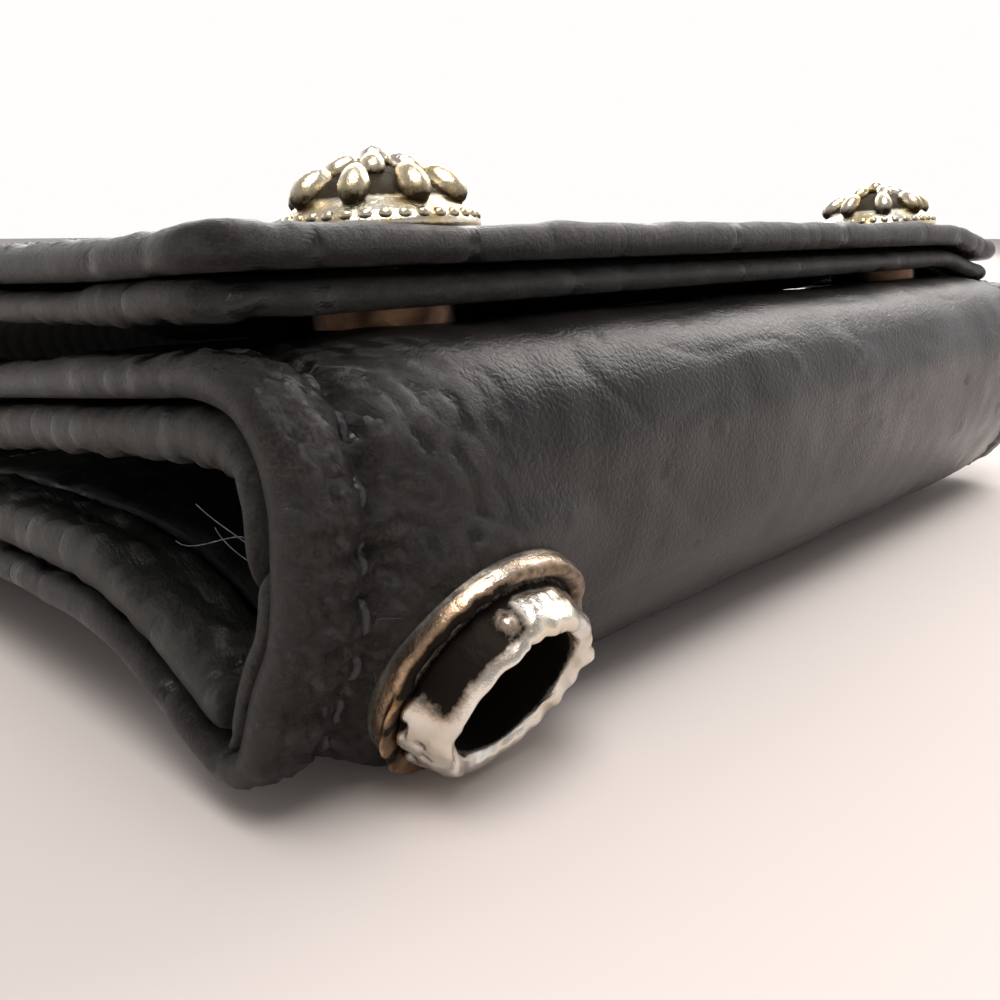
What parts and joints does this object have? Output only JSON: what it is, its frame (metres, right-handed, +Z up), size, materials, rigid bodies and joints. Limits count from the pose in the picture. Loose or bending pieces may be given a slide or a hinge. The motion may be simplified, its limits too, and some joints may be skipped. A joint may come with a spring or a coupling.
{
  "type": "chain wallet",
  "caption": "Black leather three-fold wallet, closed, with a domed grommet for a chain in its front fold and rosette snap caps on its flap.",
  "frame": {"origin": "on the surface it lies on, under the middle of the closed wallet's box", "axes": "+X along the folds, away from the grommet's end; +Y from the front fold, with the grommet, to the back fold; +Z up"},
  "size_m": [0.11, 0.0958, 0.0352],
  "materials": {
    "outer_leather": "semi-gloss",
    "inner_leather": "satin",
    "lining": "matte",
    "thread": "matte",
    "zip_tape": "matte",
    "aged_silver": "polished",
    "brass": "satin"
  },
  "bodies": {
    "back": {"back_leather": "outer_leather", "back_lining": "lining", "back_facing": "inner_leather", "spine_patch": "inner_leather", "coin_pocket_wall": "inner_leather", "coin_pocket_strip": "inner_leather", "zip_tape_front": "zip_tape", "zip_tape_rear": "zip_tape", "zip_teeth_front": "brass", "zip_teeth_rear": "brass", "zip_stops": "brass", "grommet_face": "aged_silver", "grommet_washer": "aged_silver", "back_thread": "thread"},
    "flap": {"flap_leather": "outer_leather", "flap_lining": "lining", "flap_facing": "inner_leather", "flap_card_pocket_1": "inner_leather", "flap_card_pocket_2": "inner_leather", "snap_cap_near": "aged_silver", "snap_cap_far": "aged_silver", "snap_socket_near": "brass", "snap_socket_far": "brass", "flap_thread": "thread"},
    "panel": {"panel_leather": "outer_leather", "panel_lining": "lining", "panel_facing": "inner_leather", "panel_ticket_pocket": "inner_leather", "snap_stud_near": "brass", "snap_stud_far": "brass", "snap_rivet_near": "brass", "snap_rivet_far": "brass", "panel_thread": "thread"},
    "slider": {"zip_slider": "brass"},
    "pull": {"zip_pull": "brass"}
  },
  "joints": [
    {"name": "flap_open", "type": "hinge", "parent": "back", "child": "flap", "pos_m": [0, 0.04784, 0.01162], "axis": [-1, 0, 0], "range_deg": [0, 140]},
    {"name": "panel_open", "type": "hinge", "parent": "back", "child": "panel", "pos_m": [0, -0.04417, 0.01641], "axis": [1, 0, 0], "range_deg": [0, 140]},
    {"name": "zip_slide", "type": "slide", "parent": "back", "child": "slider", "axis": [-1, 0, 0], "range_m": [0, 0.072]},
    {"name": "pull_swing", "type": "hinge", "parent": "slider", "child": "pull", "pos_m": [0.0374, 0.02159, 0.01024], "axis": [0, 0.9878, -0.1555], "range_deg": [0, 180]}
  ],
  "couplings": [
    {"joint": "panel_open", "follows": "flap_open", "ratio": 1}
  ]
}
